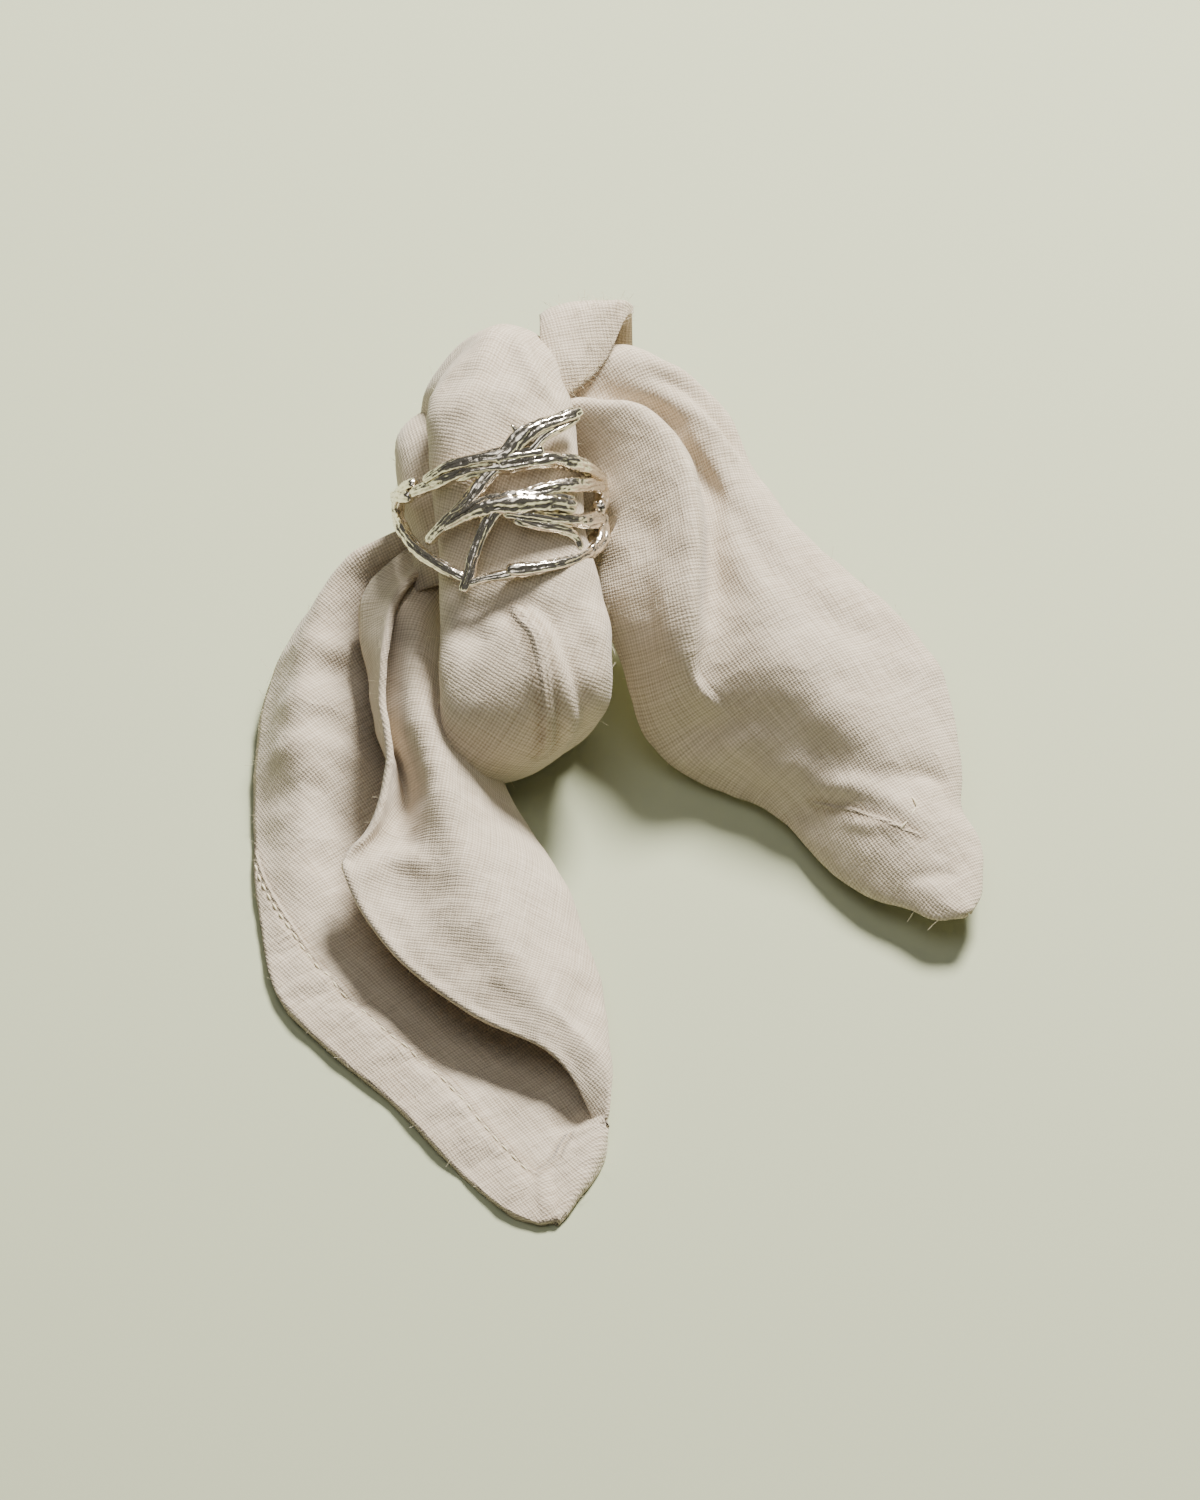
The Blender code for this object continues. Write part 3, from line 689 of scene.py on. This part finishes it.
# Radius at the start, middle and end of each twig, then its bends: angle round the ring in degrees, place
# along its axis, and lift off its radius.
TWIGS = {
    "main": (1.2, 1.9, 1.2, (
        (-58, 6.5, 0), (-44, 7.6, 0), (-27, 9.4, 0.1), (-8, 10.9, 0.3), (12, 12.2, 0.4), (30, 13.3, 0.3),
        (52, 13, 0), (74, 11.6, 0), (92, 9, 0),
    )),
    "main_upper": (0.8, 1.6, 1.5, (
        (-46, 9.0, 0.5), (-30, 11.2, 0.9), (-12, 12.7, 1.1), (6, 13.9, 1.1), (24, 15.0, 0.9),
    )),
    "back": (1.5, 1.9, 1.4, (
        (88, 8, 0), (130, 5, 0), (175, 4, 0), (220, 6, 0), (262, 8, 0), (300, 6, 0),
    )),
    "spur": (2.1, 1.8, 1.2, (
        (-2, 12.2, 0.3), (4, 14.2, 0.8), (10, 17.5, 1.6), (20, 20.3, 2), (34, 22.8, 2.1), (47, 25.4, 2),
    )),
    "spur_twin": (1.0, 1.1, 0.6, (
        (16, 14.5, 1.0), (24, 18.5, 1.9), (36, 21.4, 2.4), (45, 23.6, 2.3),
    )),
    "thorn": (1.2, 0.8, 0.3, (
        (12, 17.6, 1.6), (9, 19.2, 2.0), (6, 20.8, 2.5),
    )),
    "left_hoop": (1.1, 1.3, 1.1, (
        (-56, 9, 0), (-74, 8, 0), (-90, 4.5, 0), (-72, -1, 0), (-52, -7.4, 0), (-34, -11.7, 0),
        (-20, -15, 0),
    )),
    "cross": (1.6, 1.5, 0.9, (
        (3, 12.8, 0.2), (-3, 10.6, 0), (-11, 6.8, 0), (-19, 2.8, 0.2), (-32, -1.6, 0), (-46, -5.6, -0.4),
    )),
    "cross_thorn": (1.1, 0.7, 0.3, (
        (-15, 4.2, 0.3), (-22, 1.8, 1.1), (-27, 0.4, 1.6),
    )),
    "heavy": (0.9, 2.5, 2.0, (
        (-34, -2.6, 0), (-22, -0.4, 0), (-8, 1.8, 0.2), (8, 2.8, 0.5), (26, 3.2, 0.7), (44, 2.9, 0.6),
    )),
    "heavy_upper": (1.2, 1.7, 1.4, (
        (6, 4.0, 0.6), (20, 5.3, 0.9), (36, 7.2, 0.7), (56, 8.6, 0.3), (78, 9.4, 0),
    )),
    "end_knob": (1.4, 1.9, 1.6, (
        (90, 10, -0.2), (86, 7.5, 0), (80, 5, 0.1), (72, 4, 0.2),
    )),
    "second": (1.2, 1.4, 1.7, (
        (2, 0.4, 0.1), (20, -0.4, 0.3), (40, -0.6, 0.2), (58, 0.2, 0.1), (74, 1.4, 0),
    )),
    "right_web": (1.7, 2.1, 1.4, (
        (80, 3.2, 0), (78, -0.5, 0.2), (71, -4.4, 0.2), (60, -7.4, 0),
    )),
    "left_arm": (1.5, 1.3, 1.1, (
        (4, 2.4, 0.2), (-3, 0.2, 0.2), (-10, -4.6, 0), (-15, -10, 0), (-17, -14, 0), (-21, -18, 0),
    )),
    "arch_upper": (1.0, 1.0, 1.0, (
        (8, -1.2, 0.1), (22, -2.4, 0.2), (36, -2.8, 0.2), (47, -4.2, 0.1), (52, -7, 0),
    )),
    "arch_lower": (1.2, 1.3, 1.3, (
        (62, -6.8, 0), (50, -9, 0), (36, -11, 0), (20, -12.6, 0), (4, -13.4, 0.2),
    )),
    "arch_tip": (1.0, 1.1, 0.9, (
        (8, -13.9, -0.3), (-6, -15, 0), (-18, -16.2, 0),
    )),
    "low_back": (1.3, 1.6, 1.2, (
        (76, -2, 0), (110, -1, 0), (150, 1, 0), (185, 3, 0),
    )),
}
TWIG_SIDES = 36
TWIG_STEP = 0.42
TWIG_SCALE = 1.16
TWIG_SWELL = 0.22
TWIG_END = 0.8  # length over which a twig's end narrows
FURROWS = 6
FURROW_SHARE = 0.66  # of the bark's relief, the rest being finer
BARK_LOW = 0.68  # of the twig's radius, at the bottom of a furrow
BARK_RISE = 0.42


def on_ring(angle, along, radius):
    turn = np.radians(angle)
    axis = np.array((0, math.cos(RING_TILT), math.sin(RING_TILT)))
    front = np.array((0, -math.sin(RING_TILT), math.cos(RING_TILT)))
    outward = front * math.cos(turn) + np.array((1.0, 0, 0)) * math.sin(turn)
    return RING_CENTRE + axis * along + radius * outward


def bark(side, s, seed):
    """Height of the bark, from 0 in a furrow to 1, at an angle round the twig and a length along it."""
    x, y = math.cos(side), math.sin(side)
    twist = 2.6 * noise.noise(Vector((s / 13, seed, 0))) + 0.8 * noise.noise(Vector((x + seed, y, s / 5)))
    furrow = abs(math.sin(FURROWS / 2 * side + twist)) ** 0.55
    fine = min(1.0, abs(noise.noise(Vector((x * 4.5, y * 4.5 + seed, s / 2.8)))) / 0.2)
    return FURROW_SHARE * furrow + (1 - FURROW_SHARE) * fine


def twig_line(bends):
    """Points along a twig, evenly spaced, and their distances from its start."""
    fine = smooth_curve(bends, np.linspace(0, len(bends) - 1, 300))
    line = np.array([on_ring(angle, along, RING_RADIUS + lift) for angle, along, lift in fine])
    length = np.concatenate([[0], np.cumsum(np.linalg.norm(np.diff(line, axis=0), axis=1))])
    where = np.linspace(0, length[-1], max(6, int(length[-1] / TWIG_STEP)))
    return np.stack([np.interp(where, length, line[:, k]) for k in range(3)], axis=1), where


def twig_rings(radii, bends, seed):
    line, where = twig_line(bends)
    points, heights = [], []
    for centre, run, s in zip(line, np.gradient(line, axis=0), where):
        wide = np.cross(run, centre - RING_CENTRE)
        wide /= np.linalg.norm(wide)
        thick = np.cross(wide, run)
        thick /= np.linalg.norm(thick)
        radius = TWIG_SCALE * np.interp(s / where[-1], (0, 0.5, 1), radii)
        swell = 1 + TWIG_SWELL * noise.noise(Vector((s / 5, seed, 0.5)))
        end = min(s, where[-1] - s)
        rounded = 0.7 + 0.3 * min(1.0, end / TWIG_END)
        for side in range(TWIG_SIDES):
            angle = 2 * math.pi * side / TWIG_SIDES
            height = bark(angle, s, seed)
            reach = radius * swell * rounded * (BARK_LOW + BARK_RISE * height)
            points.append(centre + reach * (wide * math.cos(angle) + thick * math.sin(angle)))
            heights.append(height)
    return points, heights


def ring():
    points, faces, heights = [], [], []
    for number, (*radii, bends) in enumerate(TWIGS.values()):
        start = len(points)
        made, height = twig_rings(radii, bends, 1.7 * number)
        points += made
        heights += height
        faces += tube_faces(start, len(made) // TWIG_SIDES - 1, TWIG_SIDES)
    return add_mesh("twig_ring_cast", points, faces, values={"bark": heights})


# ---------------------------------------------------------------- stitches and fibres


def hem_stitch_line(sheet, rows):
    """Where the hem's stitch line runs over the cloth's upper face, row by row."""
    normal = grid_normals(sheet.grid)
    line = []
    for i in rows:
        past = np.nonzero(sheet.seam[i] > -STITCH_INSET)[0]
        if len(past) and 0 < past[0] < len(sheet.seam[i]) // 2:
            j = past[0]
            before, after = sheet.seam[i, j - 1], sheet.seam[i, j]
            t = (-STITCH_INSET - before) / (after - before)
            point = sheet.grid[i, j - 1] * (1 - t) + sheet.grid[i, j] * t
            line.append(point + normal[i, j] * (sheet.thickness[i, j] / 2 + 0.4 * STITCH_RADIUS))
    return np.array(line)


def stitch_line(sheet, places):
    """A stitch line over the sheet's upper face through places in the table's rows and columns."""
    lifted = sheet.grid + grid_normals(sheet.grid) * (CLOTH / 2 + 0.5 * STITCH_RADIUS)
    points = [lifted[sheet.index_at(place)] for place in places]
    return smooth_curve(points, np.linspace(0, len(points) - 1, 20 * len(points)))


def stitches(lines):
    """Short sewn threads laid end to end along the lines."""
    points, faces = [], []
    for line in lines:
        length = np.concatenate([[0], np.cumsum(np.linalg.norm(np.diff(line, axis=0), axis=1))])
        start = STITCH_GAP
        while start + STITCH_LENGTH < length[-1]:
            where = np.linspace(start, start + STITCH_LENGTH, STITCH_STEPS + 1)
            centre = np.stack([np.interp(where, length, line[:, k]) for k in range(3)], axis=1)
            bow = np.sin(np.linspace(0, math.pi, STITCH_STEPS + 1))
            centre[:, 2] += STITCH_BOW * bow - STITCH_BOW
            run = centre[-1] - centre[0]
            wide = np.cross(run, (0, 0, 1.0))
            wide /= np.linalg.norm(wide)
            up = np.cross(wide, run)
            up /= np.linalg.norm(up)
            base = len(points)
            for step, place in enumerate(centre):
                radius = STITCH_RADIUS * (0.45 + 0.55 * bow[step])
                for side in range(STITCH_SIDES):
                    angle = 2 * math.pi * side / STITCH_SIDES
                    points.append(place + radius * (wide * math.cos(angle) + up * math.sin(angle)))
            faces += tube_faces(base, STITCH_STEPS, STITCH_SIDES)
            start += STITCH_LENGTH + STITCH_GAP
    return add_mesh("hem_stitches", points, faces)


def fibres(sheets):
    """Fine loose ends of flax that stand off the cloth, half of them along its borders."""
    chance = np.random.default_rng(FIBRE_SEED)
    points, faces = [], []
    for sheet in sheets:
        normal = grid_normals(sheet.grid)
        rows, columns = sheet.grid.shape[:2]
        for number in range(FIBRES_A_SHEET):
            i, j = chance.integers(2, rows - 2), chance.integers(2, columns - 2)
            if number % 2:
                j = (1, columns - 2)[chance.integers(2)]
            out = normal[i, j] + FIBRE_LEAN * chance.normal(size=3)
            out /= np.linalg.norm(out)
            out *= 1 if out @ normal[i, j] > 0 else -1
            curl = FIBRE_CURL * chance.normal(size=3)
            start = sheet.grid[i, j] + normal[i, j] * sheet.thickness[i, j] / 2
            base = len(points)
            for t in np.linspace(0, 1, FIBRE_STEPS + 1):
                length = chance.uniform(0.9, 1.0) * FIBRE_LENGTH
                centre = start + length * (out * t + curl * t * t)
                centre[2] = max(centre[2], FIBRE_RADIUS)
                for side in range(FIBRE_SIDES):
                    angle = 2 * math.pi * side / FIBRE_SIDES
                    points.append(centre + FIBRE_RADIUS * np.array((math.cos(angle), math.sin(angle), 0)))
            faces += tube_faces(base, FIBRE_STEPS, FIBRE_SIDES, capped=False)
    return add_mesh("loose_fibres", points, faces)


# ---------------------------------------------------------------- materials


class Nodes:
    """Short names for building a material's nodes."""

    def __init__(self, name):
        self.material = bpy.data.materials.new(name)
        self.material.use_nodes = True
        self.tree = self.material.node_tree
        self.shader = self.tree.nodes["Principled BSDF"]

    def add(self, kind, **settings):
        node = self.tree.nodes.new(kind)
        for key, value in settings.items():
            setattr(node, key, value)
        return node

    def link(self, source, target):
        self.tree.links.new(source, target)

    def math(self, operation, first, second=None):
        node = self.add("ShaderNodeMath", operation=operation)
        for socket, value in zip(node.inputs, (first, second)):
            if value is None:
                continue
            if isinstance(value, (int, float)):
                socket.default_value = value
            else:
                self.link(value, socket)
        return node.outputs[0]

    def noise(self, vector, scale, detail=2.0, stretch=(1, 1, 1), place=(0, 0, 0)):
        mapping = self.add("ShaderNodeMapping")
        mapping.inputs["Scale"].default_value = stretch
        mapping.inputs["Location"].default_value = place
        self.link(vector, mapping.inputs["Vector"])
        node = self.add("ShaderNodeTexNoise")
        node.inputs["Scale"].default_value = scale
        node.inputs["Detail"].default_value = detail
        self.link(mapping.outputs[0], node.inputs["Vector"])
        return node.outputs["Fac"]

    def mix(self, factor, first, second):
        node = self.add("ShaderNodeMix", data_type="RGBA")
        for key, value in (("Factor", factor), ("A", first), ("B", second)):
            socket = node.inputs[key]
            if isinstance(value, (int, float, tuple)):
                socket.default_value = value
            else:
                self.link(value, socket)
        return node.outputs["Result"]

    def spread(self, value, low, high, to_low=0.0, to_high=1.0):
        node = self.add("ShaderNodeMapRange")
        for key, number in (("From Min", low), ("From Max", high), ("To Min", to_low), ("To Max", to_high)):
            node.inputs[key].default_value = number
        self.link(value, node.inputs["Value"])
        return node.outputs[0]

    def bell(self, value, centre, width):
        """1 where the value is at the centre, fading to 0 over the width."""
        off = self.math("DIVIDE", self.math("SUBTRACT", value, centre), width)
        return self.math("EXPONENT", self.math("MULTIPLY", self.math("MULTIPLY", off, off), -1.0))

    def bump(self, height, strength, distance, normal=None):
        node = self.add("ShaderNodeBump")
        node.inputs["Strength"].default_value = strength
        node.inputs["Distance"].default_value = distance
        self.link(height, node.inputs["Height"])
        if normal is not None:
            self.link(normal, node.inputs["Normal"])
        return node.outputs[0]


THREAD = 0.00076  # metres from one thread to the next
WOBBLE = 0.0016  # metres that a thread strays
NOISE_RANGE = (0.3, 0.7)  # the range that a noise mostly stays in


def linen():
    """Plain weave: two sets of uneven threads, over and under each other, with slubs and soft fading."""
    n = Nodes("linen_weave")
    uv = n.add("ShaderNodeUVMap", uv_map="Cloth").outputs[0]
    split = n.add("ShaderNodeSeparateXYZ")
    n.link(uv, split.inputs[0])
    wobble = n.math("MULTIPLY", n.math("SUBTRACT", n.noise(uv, 45, 2), 0.5), WOBBLE)
    u = n.math("ADD", split.outputs[0], wobble)
    v = n.math("SUBTRACT", split.outputs[1], wobble)
    wave_u = n.math("SINE", n.math("MULTIPLY", u, math.pi / THREAD))
    wave_v = n.math("SINE", n.math("MULTIPLY", v, math.pi / THREAD))
    crossing = n.math("MULTIPLY", n.math("MULTIPLY", wave_u, wave_v), 0.4)
    over = n.math("MULTIPLY", n.math("ABSOLUTE", wave_u), n.math("ADD", 0.6, crossing))
    under = n.math("MULTIPLY", n.math("ABSOLUTE", wave_v), n.math("SUBTRACT", 0.6, crossing))
    thread = n.math("MAXIMUM", over, under)
    slub_u = n.noise(uv, 1.0, 3, stretch=(1400, 60, 1))
    slub_v = n.noise(uv, 1.0, 3, stretch=(60, 1400, 1), place=(3, 5, 0))
    slubs = n.math("ADD", n.spread(slub_u, *NOISE_RANGE), n.spread(slub_v, *NOISE_RANGE))
    blotch = n.noise(uv, 28, 3)
    tone = n.math("ADD", n.spread(thread, 0.25, 1.0, 0.14, 0.62), n.math("MULTIPLY", slubs, 0.2))
    tone = n.math("ADD", tone, n.spread(blotch, *NOISE_RANGE, -0.06, 0.10))
    # Painted shade: the colour darkens in the hem's stitched groove and beside its fold.
    seam = n.add("ShaderNodeAttribute", attribute_name="seam").outputs["Fac"]
    groove = n.bell(seam, -STITCH_INSET, 0.7)
    shade = n.bell(seam, 0.6, 0.7)
    fold = n.spread(seam, -0.35, 0.35, 1, 0)
    tone = n.math("SUBTRACT", tone, n.math("MULTIPLY", n.math("ADD", groove, shade), 0.2))
    n.link(n.mix(tone, LINEN_DEEP, LINEN_PALE), n.shader.inputs["Base Color"])
    # Puckers along the stitches, and soft crumpling all over.
    pucker = n.math("MULTIPLY", n.noise(uv, 1.6, 2, stretch=(260, 90, 1)), n.bell(seam, -4, 7))
    crumple = n.math("ABSOLUTE", n.math("SUBTRACT", n.noise(uv, 62, 3), 0.5))
    relief = n.math("SUBTRACT", n.math("MULTIPLY", fold, 0.8), n.math("MULTIPLY", groove, 0.6))
    relief = n.math("ADD", relief, pucker)
    relief = n.math("SUBTRACT", relief, n.math("MULTIPLY", crumple, 2.2))
    coarse = n.bump(relief, 0.8, 0.001)
    fine = n.bump(n.math("ADD", thread, n.math("MULTIPLY", slubs, 0.3)), 0.5, 0.0003, coarse)
    n.link(fine, n.shader.inputs["Normal"])
    n.link(n.spread(blotch, *NOISE_RANGE, 0.86, 0.98), n.shader.inputs["Roughness"])
    n.shader.inputs["Sheen Weight"].default_value = 0.2
    n.shader.inputs["Sheen Roughness"].default_value = 0.5
    n.shader.inputs["Specular IOR Level"].default_value = 0.15
    return n.material


def sewing_thread():
    n = Nodes("sewing_thread")
    place = n.add("ShaderNodeTexCoord").outputs["Object"]
    twist = n.noise(place, 2600, 2)
    n.link(n.mix(twist, STITCH_SHADE, STITCH_COLOUR), n.shader.inputs["Base Color"])
    n.link(n.spread(twist, *NOISE_RANGE, 0.6, 0.8), n.shader.inputs["Roughness"])
    n.link(n.bump(twist, 0.4, 0.0001), n.shader.inputs["Normal"])
    return n.material


def silver():
    """Polished warm plate, with painted shade that darkens the furrows of the bark."""
    n = Nodes("cast_silver_bark")
    ridge = n.add("ShaderNodeAttribute", attribute_name="bark").outputs["Fac"]
    place = n.add("ShaderNodeTexCoord").outputs["Object"]
    fine = n.noise(place, 900, 4)
    # Painted shade: the furrows of the bark are coloured dark, as shade in them would look.
    furrow_painted_shade = n.spread(ridge, 0.15, 0.7)
    n.link(n.mix(furrow_painted_shade, BARK_SHADE, SILVER), n.shader.inputs["Base Color"])
    n.link(n.spread(fine, *NOISE_RANGE, 0.12, 0.28), n.shader.inputs["Roughness"])
    n.link(n.bump(fine, 0.35, 0.0003), n.shader.inputs["Normal"])
    n.shader.inputs["Metallic"].default_value = 1.0
    return n.material


def floor_paper():
    n = Nodes("pale_paper")
    place = n.add("ShaderNodeTexCoord").outputs["Object"]
    grain = n.noise(place, 900, 3)
    n.link(n.mix(grain, FLOOR_GRAIN, FLOOR_COLOUR), n.shader.inputs["Base Color"])
    n.shader.inputs["Roughness"].default_value = 0.9
    n.shader.inputs["Specular IOR Level"].default_value = 0.2
    return n.material


# ---------------------------------------------------------------- stage


def stage():
    half = 3.0
    corners = [(-half, -half, 0), (half, -half, 0), (half, half, 0), (-half, half, 0)]
    mesh = bpy.data.meshes.new("paper")
    mesh.from_pydata(corners, [], [(0, 1, 2, 3)])
    floor = bpy.data.objects.new("paper", mesh)
    bpy.context.scene.collection.objects.link(floor)
    floor.data.materials.append(floor_paper())


def area_light(name, place, target, size, power, colour):
    light = bpy.data.lights.new(name, "AREA")
    light.shape = "DISK"
    light.size = size
    light.energy = power
    light.color = colour
    obj = bpy.data.objects.new(name, light)
    obj.location = place
    obj.rotation_euler = (Vector(target) - Vector(place)).to_track_quat("-Z", "Y").to_euler()
    bpy.context.scene.collection.objects.link(obj)


def lights():
    """A soft key from behind on the right, a weak light overhead and a dim room."""
    area_light("key", (0.42, 0.95, 1.18), (0, 0, 0.02), size=0.5, power=84, colour=(1.0, 0.965, 0.92))
    area_light("overhead", (-0.2, -0.15, 1.7), (0, 0, 0), size=1.3, power=7, colour=(1.0, 0.99, 0.97))
    world = bpy.data.worlds.new("studio")
    world.use_nodes = True
    background = world.node_tree.nodes["Background"]
    background.inputs["Color"].default_value = (0.86, 0.86, 0.82, 1)
    background.inputs["Strength"].default_value = 0.1
    bpy.context.scene.world = world


CAMERA_ELEVATION = math.radians(50)
CAMERA_DISTANCE = 6.0
PICTURE_HEIGHT = 0.3525  # metres seen from top to bottom of the picture
SENSOR_HEIGHT = 24


def camera():
    aim = Vector((SHIFT[0] * MM, SHIFT[1] * MM, 0))
    look = Vector((0, math.cos(CAMERA_ELEVATION), -math.sin(CAMERA_ELEVATION)))
    data = bpy.data.cameras.new("camera")
    obj = bpy.data.objects.new("camera", data)
    obj.location = aim - look * CAMERA_DISTANCE
    obj.rotation_euler = look.to_track_quat("-Z", "Y").to_euler()
    data.sensor_fit = "VERTICAL"
    data.sensor_height = SENSOR_HEIGHT
    data.lens = SENSOR_HEIGHT * CAMERA_DISTANCE / PICTURE_HEIGHT
    bpy.context.scene.collection.objects.link(obj)
    bpy.context.scene.camera = obj


# ---------------------------------------------------------------- the scene


left = left_tail()
right = right_tail()
strand = [band(), lobe(), tab()]
cloth = napkin([left, right, *strand, gathers()])
cloth.data.materials.append(linen())
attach(cloth, "root")
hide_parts("napkin")

hem_rows = range(int(HEM_STITCH_START * len(left.grid)), int(HEM_STITCH_END * len(left.grid)))
sewn = stitches([hem_stitch_line(left, hem_rows), stitch_line(right, TIP_STITCHES)])
fuzz = fibres([left, right, *strand])
for piece in (sewn, fuzz):
    piece.data.materials.append(sewing_thread())
    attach(piece, "root")

casting = ring()
casting.data.materials.append(silver())
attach(casting, "root")
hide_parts("twig_ring")

stage()
lights()
camera()
